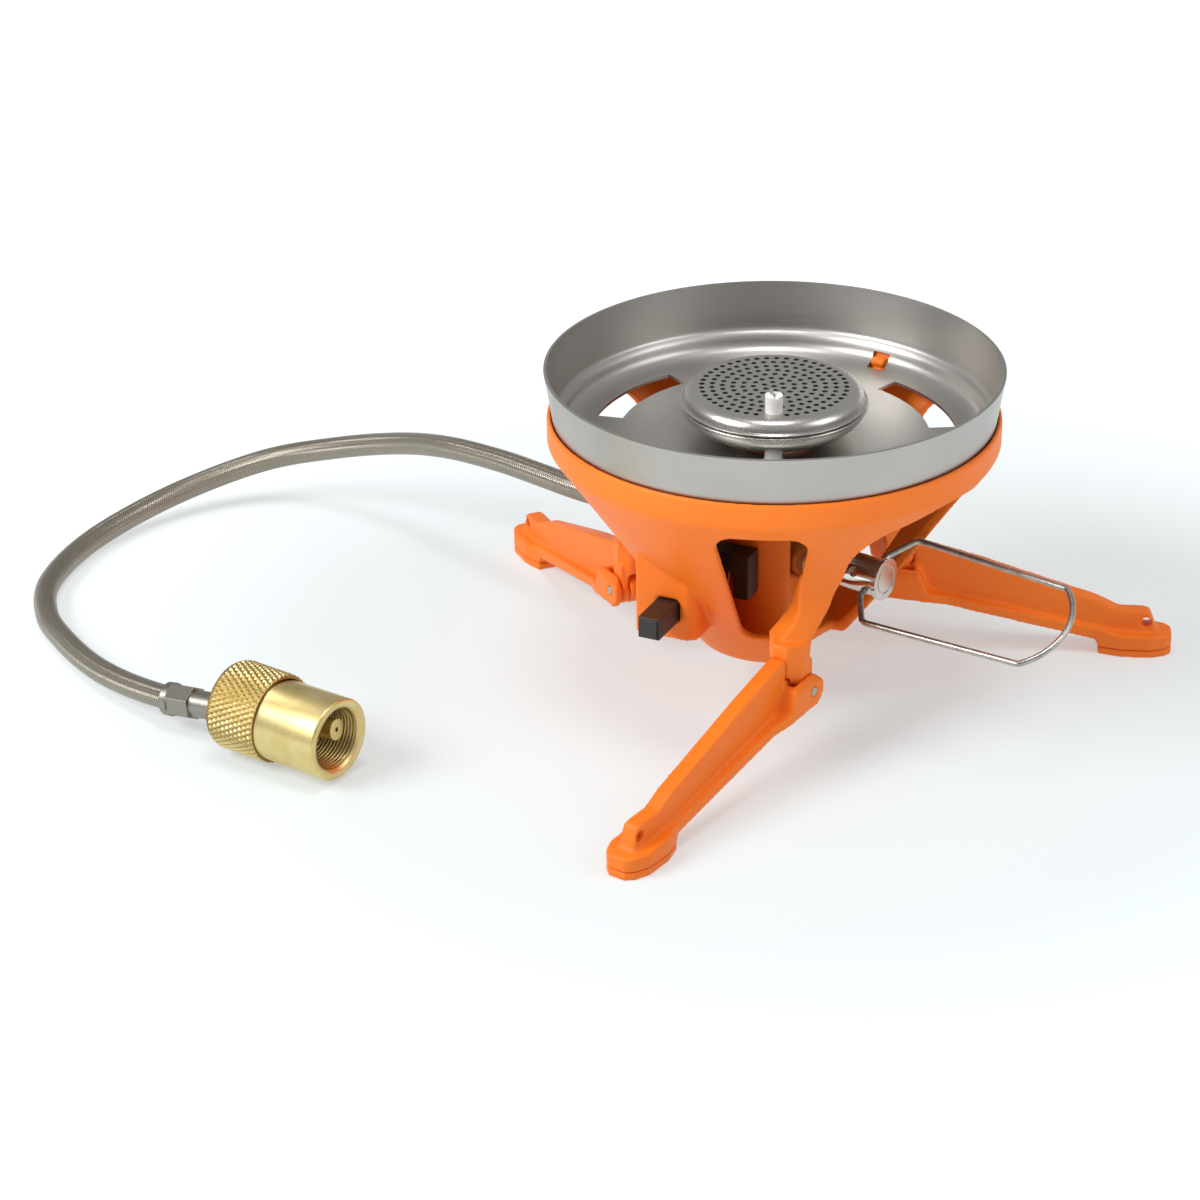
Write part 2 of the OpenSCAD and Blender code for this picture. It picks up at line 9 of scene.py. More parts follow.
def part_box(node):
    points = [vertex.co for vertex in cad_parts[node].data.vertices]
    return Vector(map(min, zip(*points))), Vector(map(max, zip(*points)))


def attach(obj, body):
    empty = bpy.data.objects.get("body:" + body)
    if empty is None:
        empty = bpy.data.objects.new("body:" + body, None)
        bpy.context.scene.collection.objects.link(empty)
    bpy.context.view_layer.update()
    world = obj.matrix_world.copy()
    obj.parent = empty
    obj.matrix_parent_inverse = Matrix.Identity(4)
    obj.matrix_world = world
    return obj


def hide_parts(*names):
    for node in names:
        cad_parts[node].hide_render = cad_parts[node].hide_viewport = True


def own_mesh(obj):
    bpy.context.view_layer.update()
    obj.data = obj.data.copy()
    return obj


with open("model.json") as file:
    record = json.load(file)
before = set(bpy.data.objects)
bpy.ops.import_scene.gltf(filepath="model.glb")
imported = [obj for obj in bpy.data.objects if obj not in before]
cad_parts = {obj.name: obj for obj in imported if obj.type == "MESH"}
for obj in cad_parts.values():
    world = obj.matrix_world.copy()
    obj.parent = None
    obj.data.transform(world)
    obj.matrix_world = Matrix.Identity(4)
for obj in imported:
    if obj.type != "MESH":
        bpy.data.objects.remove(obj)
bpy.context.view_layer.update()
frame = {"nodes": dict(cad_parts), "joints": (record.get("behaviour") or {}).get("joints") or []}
nodes = frame["nodes"]
joints = {j["name"]: j for j in frame["joints"]}
MM = 0.001


def deg(a):
    return math.radians(a)


# ---------------------------------------------------------------- camera, fitted to the photograph
camera_data = bpy.data.cameras.new("camera")
camera_data.lens = 104.34
camera_data.sensor_width = 36
camera_data.clip_start, camera_data.clip_end = 0.05, 30
camera = bpy.data.objects.new("camera", camera_data)
bpy.context.scene.collection.objects.link(camera)
camera.location = (-0.000675, -0.834481, 0.443250)
camera.rotation_euler = (deg(63.321), deg(0.677), deg(2.776))
bpy.context.scene.camera = camera


# ---------------------------------------------------------------- helpers for materials
class Graph:
    """A material's node tree, with short ways to make nodes."""

    def __init__(self, name):
        self.mat = bpy.data.materials.new(name)
        self.mat.use_nodes = True
        self.tree = self.mat.node_tree
        self.tree.nodes.clear()
        self.out = self.tree.nodes.new("ShaderNodeOutputMaterial")
        self.bsdf = self.tree.nodes.new("ShaderNodeBsdfPrincipled")
        self.tree.links.new(self.bsdf.outputs[0], self.out.inputs[0])
        self.coord = self.tree.nodes.new("ShaderNodeTexCoord")

    def link(self, a, b):
        self.tree.links.new(a, b)

    def put(self, socket, value):
        if hasattr(value, "is_linked") or hasattr(value, "links"):
            self.link(value, socket)
        else:
            socket.default_value = value

    def noise(self, scale, detail=3.0, vector=None, rough=0.5):
        n = self.tree.nodes.new("ShaderNodeTexNoise")
        n.inputs["Scale"].default_value = scale
        n.inputs["Detail"].default_value = detail
        n.inputs["Roughness"].default_value = rough
        self.link(vector or self.coord.outputs["Object"], n.inputs["Vector"])
        return n.outputs[0]

    def math(self, op, a, b=0.0):
        n = self.tree.nodes.new("ShaderNodeMath")
        n.operation = op
        self.put(n.inputs[0], a)
        self.put(n.inputs[1], b)
        return n.outputs[0]

    def ramp(self, fac, stops):
        n = self.tree.nodes.new("ShaderNodeValToRGB")
        while len(n.color_ramp.elements) < len(stops):
            n.color_ramp.elements.new(0.5)
        for e, (p, c) in zip(n.color_ramp.elements, stops):
            e.position = p
            e.color = (*c, 1)
        self.link(fac, n.inputs[0])
        return n.outputs[0]

    def span(self, fac, lo, hi, from_lo=0.3, from_hi=0.7):
        n = self.tree.nodes.new("ShaderNodeMapRange")
        n.inputs["From Min"].default_value = from_lo
        n.inputs["From Max"].default_value = from_hi
        n.inputs["To Min"].default_value = lo
        n.inputs["To Max"].default_value = hi
        self.link(fac, n.inputs["Value"])
        return n.outputs[0]

    def mix(self, fac, a, b):
        n = self.tree.nodes.new("ShaderNodeMix")
        n.data_type = "RGBA"
        self.put(n.inputs[0], fac)
        self.put(n.inputs[6], a if not isinstance(a, tuple) else (*a, 1))
        self.put(n.inputs[7], b if not isinstance(b, tuple) else (*b, 1))
        return n.outputs[2]

    def vector(self, x, y, z):
        n = self.tree.nodes.new("ShaderNodeCombineXYZ")
        self.put(n.inputs[0], x)
        self.put(n.inputs[1], y)
        self.put(n.inputs[2], z)
        return n.outputs[0]

    def split(self, v=None):
        n = self.tree.nodes.new("ShaderNodeSeparateXYZ")
        self.link(v or self.coord.outputs["Object"], n.inputs[0])
        return n.outputs

    def bump(self, height, distance, strength=1.0, normal=None):
        n = self.tree.nodes.new("ShaderNodeBump")
        n.inputs["Strength"].default_value = strength
        n.inputs["Distance"].default_value = distance
        self.link(height, n.inputs["Height"])
        if normal is not None:
            self.link(normal, n.inputs["Normal"])
        return n.outputs[0]

    def bevel(self, radius):
        n = self.tree.nodes.new("ShaderNodeBevel")
        n.samples = 6
        n.inputs["Radius"].default_value = radius
        return n.outputs[0]

    def turned(self, origin, axis):
        """Coordinates round an axis: (radius, angle / pi, along)."""
        a = Vector(axis).normalized()
        s = a.cross(Vector((0, 0, 1)) if abs(a.z) < 0.9 else Vector((1, 0, 0))).normalized()
        t = a.cross(s)
        rel = self.tree.nodes.new("ShaderNodeVectorMath")
        rel.operation = "SUBTRACT"
        self.link(self.coord.outputs["Object"], rel.inputs[0])
        rel.inputs[1].default_value = origin
        dots = []
        for v in (s, t, a):
            n = self.tree.nodes.new("ShaderNodeVectorMath")
            n.operation = "DOT_PRODUCT"
            self.link(rel.outputs[0], n.inputs[0])
            n.inputs[1].default_value = v
            dots.append(n.outputs["Value"])
        radius = self.math("SQRT", self.math("ADD", self.math("MULTIPLY", dots[0], dots[0]),
                                             self.math("MULTIPLY", dots[1], dots[1])))
        angle = self.math("DIVIDE", self.math("ARCTAN2", dots[1], dots[0]), math.pi)
        return radius, angle, dots[2]

    def turning_lines(self, turned, across, around, detail):
        """Fine lines left by a lathe: noise that changes fast across the cut and slowly around it."""
        radius, angle, along = turned
        stretched = self.vector(self.math("MULTIPLY", radius, across), self.math("MULTIPLY", angle, around),
                                self.math("MULTIPLY", along, across))
        return self.noise(1.0, detail, stretched, 0.6)

    def set(self, **values):
        for k, v in values.items():
            self.put(self.bsdf.inputs[k.replace("_", " ")], v)
        return self.mat


def linear(c):
    return c / 12.92 if c <= 0.04045 else ((c + 0.055) / 1.055) ** 2.4


def srgb(r, g, b):
    """Linear colour from sRGB values of 0 to 255."""
    return tuple(linear(c / 255) for c in (r, g, b))


def plastic_orange():
    g = Graph("orange_plastic")
    fine = g.noise(2600, 4, rough=0.6)
    cloud = g.noise(22, 3)
    colour = g.ramp(cloud, [(0.3, srgb(239, 116, 26)), (0.7, srgb(246, 126, 33))])
    edge = g.bevel(0.9 * MM)
    g.set(Base_Color=colour, Roughness=g.span(fine, 0.40, 0.52), Normal=g.bump(fine, 0.04 * MM, 0.55, edge))
    g.bsdf.inputs["Specular IOR Level"].default_value = 0.3
    g.bsdf.inputs["Subsurface Weight"].default_value = 0.04
    g.bsdf.inputs["Subsurface Radius"].default_value = (0.003, 0.0012, 0.0004)
    g.bsdf.inputs["Subsurface Scale"].default_value = 0.5
    return g.mat


def steel(name, tone, rough, grain=1.0, edge=0.3 * MM):
    """Steel turned about the stove's own axis. An edge of 0 leaves out the rounded-edge shading."""
    g = Graph(name)
    lines = g.turning_lines(g.turned((0, 0, 0), (0, 0, 1)), 5200, 9, 3)
    speck = g.noise(1500, 3)
    cloud = g.noise(35, 3)
    lo = tuple(c * 0.86 for c in tone)
    base = g.ramp(cloud, [(0.3, lo), (0.75, tone)])
    height = g.math("ADD", lines, g.math("MULTIPLY", speck, 0.6))
    g.set(Base_Color=base, Metallic=1.0,
          Roughness=g.math("ADD", g.span(lines, rough - 0.05 * grain, rough + 0.06 * grain),
                           g.span(speck, -0.02, 0.03)),
          Normal=g.bump(height, 0.012 * MM * grain, 0.7, g.bevel(edge) if edge else None))
    return g.mat


def brass(name, origin, axis, rough=0.3, grooves=None):
    """Turned brass. grooves is a pair of radii: the colour darkens from the second towards the first."""
    g = Graph(name)
    turned = g.turned(origin, axis)
    lines = g.turning_lines(turned, 6000, 6, 2)
    speck = g.noise(1900, 3)
    cloud = g.noise(120, 4)
    base = g.ramp(cloud, [(0.28, srgb(204, 182, 118)), (0.55, srgb(219, 200, 140)),
                          (0.8, srgb(230, 215, 162))])
    if grooves:
        base = g.mix(g.span(turned[0], 0, 1, *grooves), srgb(150, 116, 58), base)
    g.set(Base_Color=base, Metallic=1.0,
          Roughness=g.math("ADD", g.span(lines, rough - 0.05, rough + 0.05), g.span(speck, -0.03, 0.04)),
          Normal=g.bump(g.math("ADD", lines, speck), 0.015 * MM, 0.6, g.bevel(0.3 * MM)))
    return g.mat


def nickel():
    g = Graph("bright_nickel")
    cloud = g.noise(260, 3)
    fine = g.noise(2400, 2)
    g.set(Base_Color=g.ramp(cloud, [(0.3, srgb(205, 202, 196)), (0.7, srgb(222, 219, 213))]), Metallic=1.0,
          Roughness=g.span(fine, 0.09, 0.17), Normal=g.bump(cloud, 0.03 * MM, 0.25, g.bevel(0.2 * MM)))
    return g.mat


def satin_wire():
    g = Graph("satin_wire")
    cloud = g.noise(420, 3)
    fine = g.noise(2600, 3)
    g.set(Base_Color=g.ramp(cloud, [(0.3, srgb(158, 154, 147)), (0.7, srgb(186, 183, 177))]), Metallic=1.0,
          Roughness=g.span(fine, 0.24, 0.36), Normal=g.bump(fine, 0.03 * MM, 0.4))
    return g.mat


def ceramic():
    g = Graph("white_ceramic")
    grain = g.noise(1400, 3)
    cloud = g.noise(300, 2)
    g.set(Base_Color=g.ramp(cloud, [(0.3, srgb(238, 236, 232)), (0.7, srgb(250, 249, 247))]),
          Roughness=g.span(grain, 0.22, 0.34), Normal=g.bump(grain, 0.02 * MM, 0.4, g.bevel(0.3 * MM)))
    g.bsdf.inputs["Subsurface Weight"].default_value = 0.25
    g.bsdf.inputs["Subsurface Radius"].default_value = (0.002, 0.002, 0.002)
    g.bsdf.inputs["Subsurface Scale"].default_value = 0.5
    return g.mat


def black_plastic():
    g = Graph("black_plastic")
    fine = g.noise(2200, 4, rough=0.6)
    cloud = g.noise(90, 3)
    g.set(Base_Color=g.ramp(cloud, [(0.3, srgb(30, 28, 26)), (0.7, srgb(44, 41, 38))]),
          Roughness=g.span(fine, 0.34, 0.5), Normal=g.bump(fine, 0.05 * MM, 0.6, g.bevel(0.5 * MM)))
    return g.mat


def rubber():
    g = Graph("black_rubber")
    fine = g.noise(1800, 3)
    g.set(Base_Color=g.ramp(fine, [(0.3, srgb(22, 22, 22)), (0.7, srgb(34, 33, 32))]),
          Roughness=g.span(fine, 0.6, 0.8), Normal=g.bump(fine, 0.04 * MM, 0.6))
    return g.mat


def sleeve():
    """The ignition lead's soft covering."""
    g = Graph("white_silicone")
    fine = g.noise(1500, 3)
    g.set(Base_Color=g.ramp(fine, [(0.3, srgb(196, 193, 186)), (0.7, srgb(212, 209, 203))]),
          Roughness=g.span(fine, 0.45, 0.6), Normal=g.bump(fine, 0.03 * MM, 0.5))
    return g.mat


def screen():
    """Woven wire seen through the burner's holes."""
    g = Graph("wire_screen")
    wire_pitch = 0.7 * MM
    x, y, _ = g.split()
    wave = [g.math("ABSOLUTE", g.math("SINE", g.math("MULTIPLY", s, math.pi / wire_pitch))) for s in (x, y)]
    weave = g.math("MULTIPLY", *wave)
    # The open gaps between the wires are painted near black: painted shade for the dark space seen through the
    # weave.
    wires_and_shaded_gaps = g.ramp(weave, [(0.1, srgb(150, 143, 130)), (0.5, srgb(60, 54, 48)), (0.8, srgb(18, 15, 13))])
    g.set(Base_Color=wires_and_shaded_gaps, Metallic=0.8, Roughness=g.span(weave, 0.35, 0.7, 0, 1),
          Normal=g.bump(weave, -0.1 * MM, 0.8))
    return g.mat


def braid():
    """Fine steel braid: two crossing sets of strands, laid over the tube's own U (around) and V (along)."""
    g = Graph("braided_steel")
    strands_round, lay_length = 28, 23.5 * MM
    u, v, _ = g.split(g.coord.outputs["UV"])
    around = g.math("MULTIPLY", u, strands_round)
    lay = g.math("MULTIPLY", v, strands_round / lay_length)
    one = g.math("ADD", around, lay)
    two = g.math("SUBTRACT", around, lay)
    p = g.math("ABSOLUTE", g.math("SINE", g.math("MULTIPLY", one, math.pi)))
    q = g.math("ABSOLUTE", g.math("SINE", g.math("MULTIPLY", two, math.pi)))
    crossing = g.math("MULTIPLY", g.math("ADD", one, two), math.pi / 2)
    over = g.math("GREATER_THAN", g.math("SINE", crossing), 0.0)
    fine_p = g.math("SINE", g.math("MULTIPLY", one, math.pi * 4))
    fine_q = g.math("SINE", g.math("MULTIPLY", two, math.pi * 4))
    strands = g.mix(over, p, q)
    fine = g.mix(over, fine_p, fine_q)
    height = g.math("ADD", strands, g.math("MULTIPLY", fine, 0.22))
    cloud = g.noise(60, 3)
    base = g.mix(g.span(height, 0, 1, 0.1, 0.9), srgb(96, 89, 79), srgb(178, 170, 156))
    tinted = g.mix(g.span(cloud, 0.0, 0.3), base, srgb(128, 118, 102))
    g.set(Base_Color=tinted, Metallic=0.92, Roughness=g.span(height, 0.42, 0.28, 0, 1),
          Normal=g.bump(height, 0.09 * MM, 0.8))
    return g.mat


# ---------------------------------------------------------------- helpers for meshes
def add_mesh(name, verts, faces, smooth=True, uvs=None):
    mesh = bpy.data.meshes.new(name)
    mesh.from_pydata([tuple(v) for v in verts], [], faces)
    mesh.validate()
    mesh.update()
    if uvs:
        layer = mesh.uv_layers.new(name="UVMap")
        for loop, uv in zip(layer.data, uvs):
            loop.uv = uv
    mesh.polygons.foreach_set("use_smooth", [smooth] * len(mesh.polygons))
    obj = bpy.data.objects.new(name, mesh)
    bpy.context.scene.collection.objects.link(obj)
    return obj


def auto_smooth(obj, angle=35):
    """Smooth faces, with every edge sharper than angle kept sharp."""
    mesh = obj.data
    bm = bmesh.new()
    bm.from_mesh(mesh)
    for e in bm.edges:
        if len(e.link_faces) == 2:
            e.smooth = e.calc_face_angle(0) < deg(angle)
    for f in bm.faces:
        f.smooth = True
    bm.to_mesh(mesh)
    bm.free()
    return obj


def dress(obj, mat):
    obj.data.materials.clear()
    obj.data.materials.append(mat)
    return obj


def dress_node(name, mat):
    obj = nodes[name]
    for s in obj.material_slots:
        s.material = mat


def frame_on(origin, axis):
    """Matrix whose local X is the axis, local Y is level and Z completes it."""
    a = Vector(axis).normalized()
    y = Vector((0, 0, 1)).cross(a).normalized()
    z = a.cross(y)
    m = Matrix((a, y, z)).transposed().to_4x4()
    m.translation = Vector(origin)
    return m


def unit(a, b):
    return (b - a).normalized()


def fillet(points, radii, steps=8):
    """A line through points with its corners rounded."""
    out = [points[0]]
    for i in range(1, len(points) - 1):
        p, r = points[i], radii[i]
        if r <= 0:
            out.append(p)
            continue
        u, v = unit(p, points[i - 1]), unit(p, points[i + 1])
        half = math.acos(max(-1, min(1, u.dot(v)))) / 2
        d = r / math.tan(half)
        c = p + (u + v).normalized() * (r / math.sin(half))
        a, b = p + u * d - c, p + v * d - c
        for k in range(steps + 1):
            t = k / steps
            out.append(c + (a * (1 - t) + b * t).normalized() * r)
    out.append(points[-1])
    return out


def tube(name, line, radius, sides):
    """A round bar along a line, with U around it and V its length in metres."""
    line = [Vector(p) for p in line]
    n = len(line)
    dirs = [unit(line[max(i - 1, 0)], line[min(i + 1, n - 1)]) for i in range(n)]
    s = dirs[0].cross(Vector((0, 0, 1)))
    if s.length < 0.1:
        s = dirs[0].cross(Vector((1, 0, 0)))
    s.normalize()
    verts, rings, length = [], [], 0.0
    for i in range(n):
        if i:
            s = (s - dirs[i] * s.dot(dirs[i])).normalized()
            length += (line[i] - line[i - 1]).length
        t = dirs[i].cross(s)
        rings.append(length)
        for k in range(sides):
            a = 2 * math.pi * k / sides
            verts.append(line[i] + radius * (math.cos(a) * s + math.sin(a) * t))
    faces, uvs = [], []
    for i in range(n - 1):
        for k in range(sides):
            k2 = (k + 1) % sides
            faces.append((i * sides + k, (i + 1) * sides + k, (i + 1) * sides + k2, i * sides + k2))
            u1, u2 = k / sides, (k + 1) / sides
            uvs += [(u1, rings[i]), (u1, rings[i + 1]), (u2, rings[i + 1]), (u2, rings[i])]
    faces.append(tuple(range(sides)))
    faces.append(tuple((n - 1) * sides + k for k in range(sides - 1, -1, -1)))
    uvs += [(0, 0)] * (2 * sides)
    return add_mesh(name, verts, faces, True, uvs)


def lathe(name, profile, segments, place, shape=None):
    """Turns a profile of (along, radius) about local X, then places it. shape may change each radius."""
    verts, faces = [], []
    m = len(profile)
    for k in range(segments):
        a = 2 * math.pi * k / segments
        for x, r in profile:
            rr = shape(x, r, a) if shape else r
            verts.append(Vector((x, rr * math.cos(a), rr * math.sin(a))))
    for k in range(segments):
        k2 = (k + 1) % segments
        for i in range(m - 1):
            faces.append((k * m + i, k * m + i + 1, k2 * m + i + 1, k2 * m + i))
    obj = add_mesh(name, verts, faces)
    bm = bmesh.new()
    bm.from_mesh(obj.data)
    bmesh.ops.remove_doubles(bm, verts=bm.verts, dist=1e-7)
    bmesh.ops.recalc_face_normals(bm, faces=bm.faces)
    bm.to_mesh(obj.data)
    bm.free()
    obj.data.transform(place)
    return obj


# ---------------------------------------------------------------- hose, from the stove to the connector
HOSE_D = 6.5 * MM
HOSE_ROUTE = [  # millimetres, as in the CAD source
    (-36, 23.6, 40), (-38.5, 25.3, 40), (-46, 30.2, 40), (-54.8, 36.2, 40), (-65, 45, 39.7), (-77, 56.5, 38.6),
    (-93, 72, 35.5), (-109, 89, 29), (-130, 103, 21), (-153, 108.5, 14), (-179, 98.5, 7), (-198.5, 75, 3.6),
    (-206, 48, 3.3), (-203, 27, 3.3), (-195, 11, 3.4), (-184, -5, 4), (-172, -18.5, 5.7), (-159.1, -29.9, 7.8),
    (-156.5, -31.3, 8.1),
]


def smooth_line(points, steps):
    """A curve through points in millimetres, with steps pieces from each point to the next."""
    w = [Vector(p) * MM for p in points]
    n = len(w) - 1
    out = []
    for i in range(n):
        a, b = w[i], w[i + 1]
        p = w[i - 1] if i else a
        q = w[i + 2] if i + 2 <= n else b
        m, k = (b - p) / 2, (q - a) / 2
        for j in range(steps):
            t = j / steps
            out.append((2 * t**3 - 3 * t * t + 1) * a + (t**3 - 2 * t * t + t) * m
                       + (3 * t * t - 2 * t**3) * b + (t**3 - t * t) * k)
    out.append(w[-1])
    return out


hose_line = smooth_line(HOSE_ROUTE, 8)
braided = braid()
hose = dress(tube("braided_hose", hose_line, HOSE_D / 2, 32), braided)
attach(hose, "stove")
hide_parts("hose")

# ---------------------------------------------------------------- connector nut, knurled and threaded
nut_joint = joints["nut_spin"]
NUT_FACE = Vector(nut_joint["pos_m"])
NUT_AXIS = Vector(nut_joint["axis"])
KNURL_R, KNURL_L = 12.1 * MM, 16.5 * MM
KNURL_STARTS, KNURL_HELIX, KNURL_DEPTH = 46, deg(30), 0.6 * MM
BARREL_R, BARREL_L = 11 * MM, 19.4 * MM
THREAD_R, THREAD_PITCH, THREAD_DEPTH = 8.1 * MM, 1 * MM, 0.45 * MM
THREAD_START, THREAD_STOP, BORE_STOP = -1.6 * MM, -24 * MM, -28.5 * MM
BACK_R = 5.6 * MM
NUT_BACK = -BARREL_L - KNURL_L
nut_place = frame_on(NUT_FACE, NUT_AXIS)
brass_nut = brass("brass_nut", NUT_FACE, NUT_AXIS, 0.36)
grip_brass = brass("brass_grip", NUT_FACE, NUT_AXIS, 0.33, (KNURL_R - KNURL_DEPTH, KNURL_R - KNURL_DEPTH / 2))
bore_brass = brass("brass_bore", NUT_FACE, NUT_AXIS, 0.38, (THREAD_R + 0.05 * MM, THREAD_R - 0.6 * MM))


def knurl(x, r, a):
    """Diamond knurl: two crossing sets of grooves, fading out at the grip's two ends."""
    back = max(0.0, min(1.0, (x - NUT_BACK - 0.9 * MM) / (0.5 * MM)))
    front = max(0.0, min(1.0, (-BARREL_L - x) / (0.3 * MM)))
    along = (x + BARREL_L) / (2 * math.pi * KNURL_R) * KNURL_STARTS * math.tan(KNURL_HELIX)
    around = a / (2 * math.pi) * KNURL_STARTS
    g1 = abs(((around + along) % 1.0) - 0.5) * 2
    g2 = abs(((around - along) % 1.0) - 0.5) * 2
    return r - KNURL_DEPTH * (1 - min(1.0, min(g1, g2) * 1.1)) * back * front


KNURL_STEPS = 118
BACK_EDGE_R = KNURL_R - 2.4 * MM
grip_profile = [(NUT_BACK, BACK_EDGE_R), (NUT_BACK + 0.2 * MM, KNURL_R - 1.5 * MM),
                (NUT_BACK + 0.7 * MM, KNURL_R - 0.75 * MM), (NUT_BACK + 1.4 * MM, KNURL_R - 0.25 * MM)]
grip_profile += [(NUT_BACK + 1.4 * MM + (KNURL_L - 1.6 * MM) * i / KNURL_STEPS, KNURL_R)
                 for i in range(1, KNURL_STEPS)]
grip_profile += [(-BARREL_L - 0.2 * MM, KNURL_R - 0.1 * MM), (-BARREL_L - 0.05 * MM, KNURL_R - 0.5 * MM),
                 (-BARREL_L, BARREL_R - 0.05 * MM)]
grip = lathe("knurled_grip", grip_profile, 576, nut_place, knurl)
auto_smooth(dress(grip, grip_brass), 30)


def thread(x, r, a):
    """A right-handed thread inside the barrel."""
    if x > THREAD_START or x < THREAD_STOP:
        return r
    t = abs(((x / THREAD_PITCH - a / (2 * math.pi)) % 1.0) - 0.5) * 2
    return r - THREAD_DEPTH * (1 - min(1.0, t * 1.15))


THREAD_STEPS = 190
bore = [(0.0, THREAD_R + 1.0 * MM), (-0.9 * MM, THREAD_R + 0.1 * MM), (THREAD_START, THREAD_R)]
bore += [(THREAD_START + (THREAD_STOP - THREAD_START) * i / THREAD_STEPS, THREAD_R)
         for i in range(1, THREAD_STEPS)]
bore += [(BORE_STOP, THREAD_R), (BORE_STOP, BACK_R), (NUT_BACK, BACK_R), (NUT_BACK, BACK_EDGE_R)]
barrel_profile = [(-BARREL_L, BARREL_R - 0.05 * MM), (-BARREL_L + 0.2 * MM, BARREL_R), (-0.5 * MM, BARREL_R),
                  (-0.15 * MM, BARREL_R - 0.15 * MM), (0.0, BARREL_R - 0.5 * MM)] + bore
barrel = lathe("nut_barrel", barrel_profile, 192, nut_place, thread)
auto_smooth(dress(barrel, brass_nut), 50)
barrel.data.materials.append(bore_brass)
inverse = nut_place.inverted()
for poly in barrel.data.polygons:
    c = inverse @ poly.center
    if -29 * MM < c.x < -1.2 * MM and math.hypot(c.y, c.z) < THREAD_R + 0.3 * MM:
        poly.material_index = 1
for piece in (grip, barrel):
    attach(piece, "nut")
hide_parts("connector_nut")

# ---------------------------------------------------------------- materials on the CAD nodes
orange = plastic_orange()
for name in ("body_shell", "leg_1", "leg_2", "leg_3", "foot_pad_1", "foot_pad_2", "foot_pad_3"):
    dress_node(name, orange)
ring_steel = steel("ring_steel", srgb(190, 187, 183), 0.37, grain=0.9, edge=0)
burner_steel = steel("burner_steel", srgb(203, 200, 195), 0.28, grain=0.3, edge=0)
plain_steel = steel("plain_steel", srgb(188, 185, 179), 0.3)
ferrule_steel = steel("ferrule_steel", srgb(152, 147, 139), 0.36)
black, seal_rubber = black_plastic(), rubber()
for name, mat in {
    "burner_screen": screen(), "base_screw": plain_steel,
    "hinge_pin_1": plain_steel, "hinge_pin_2": plain_steel, "hinge_pin_3": plain_steel,
    "electrode_wire": plain_steel, "hose_ferrule_inner": ferrule_steel, "hose_ferrule_outer": ferrule_steel,
    "electrode_ceramic": ceramic(), "ignition_lead": sleeve(),
    "piezo_body": black, "piezo_bracket": black, "piezo_button": black,
    "spindle_seal": seal_rubber, "connector_seal": seal_rubber,
}.items():
    dress_node(name, mat)
valve_axis = Vector(joints["knob_turn"]["axis"])
valve_brass = brass("valve_brass", joints["knob_turn"]["pos_m"], valve_axis, 0.33)
for name in ("valve_body", "gland_nut", "inlet_fitting", "mixing_tube", "gas_jet"):
    dress_node(name, valve_brass)
dress_node("connector_stem", brass_nut)
bright = nickel()
for name in ("valve_spindle", "valve_knob", "knob_pin"):
    dress_node(name, bright)

# ---------------------------------------------------------------- burner disc with its real holes
HEAD_Z, DISC_R = 86.2 * MM, 20.4 * MM
ELECTRODE_Y, CERAMIC_R = -16.6 * MM, 2.35 * MM
HOLE_R, PITCH, HOLE_RINGS, HOLE_SIDES = 0.76 * MM, 2.7 * MM, 7, 14
DISC_HALF = 0.22 * MM  # half the disc's thickness
RING_TWIST = 0.13  # radians each ring of holes is turned by, so that the holes don't line up


def circle_points(cx, cy, r, n):
    return [(cx + r * math.cos(2 * math.pi * k / n), cy + r * math.sin(2 * math.pi * k / n)) for k in range(n)]


def perforated_disc():
    """A flat disc with rings of small holes, filled as a 2D curve and turned into a mesh."""
    rings = [circle_points(0, 0, DISC_R, 96), circle_points(0, ELECTRODE_Y, CERAMIC_R, 28)]
    for k in range(1, HOLE_RINGS + 1):
        r = PITCH * k
        count = round(2 * math.pi * r / (PITCH * 0.97))
        for j in range(count):
            a = 2 * math.pi * (j + 0.5 * (k % 2)) / count + RING_TWIST * k
            x, y = r * math.cos(a), r * math.sin(a)
            if math.hypot(x, y - ELECTRODE_Y) > CERAMIC_R + HOLE_R + 0.3 * MM:
                rings.append(circle_points(x, y, HOLE_R, HOLE_SIDES))
    rings.append(circle_points(0, 0, HOLE_R, HOLE_SIDES))
    curve = bpy.data.curves.new("disc_outline", "CURVE")
    curve.dimensions = "2D"
    curve.fill_mode = "BOTH"
    curve.extrude = DISC_HALF
    for ring in rings:
        s = curve.splines.new("POLY")
        s.points.add(len(ring) - 1)
        for p, (x, y) in zip(s.points, ring):
            p.co = (x, y, 0, 1)
        s.use_cyclic_u = True
    temp = bpy.data.objects.new("disc_outline", curve)
    bpy.context.scene.collection.objects.link(temp)
    bpy.context.view_layer.update()
    mesh = bpy.data.meshes.new_from_object(temp.evaluated_get(bpy.context.evaluated_depsgraph_get()))
    mesh.name = "burner_disc"
    bpy.data.objects.remove(temp)
    bpy.data.curves.remove(curve)
    obj = bpy.data.objects.new("burner_disc", mesh)
    bpy.context.scene.collection.objects.link(obj)
    bm = bmesh.new()
    bm.from_mesh(mesh)
    bmesh.ops.remove_doubles(bm, verts=bm.verts, dist=1e-7)
    bmesh.ops.translate(bm, verts=bm.verts, vec=(0, 0, HEAD_Z - DISC_HALF))
    bmesh.ops.recalc_face_normals(bm, faces=bm.faces)
    bm.to_mesh(mesh)
    bm.free()
    return obj


disc = dress(auto_smooth(perforated_disc(), 30), burner_steel)
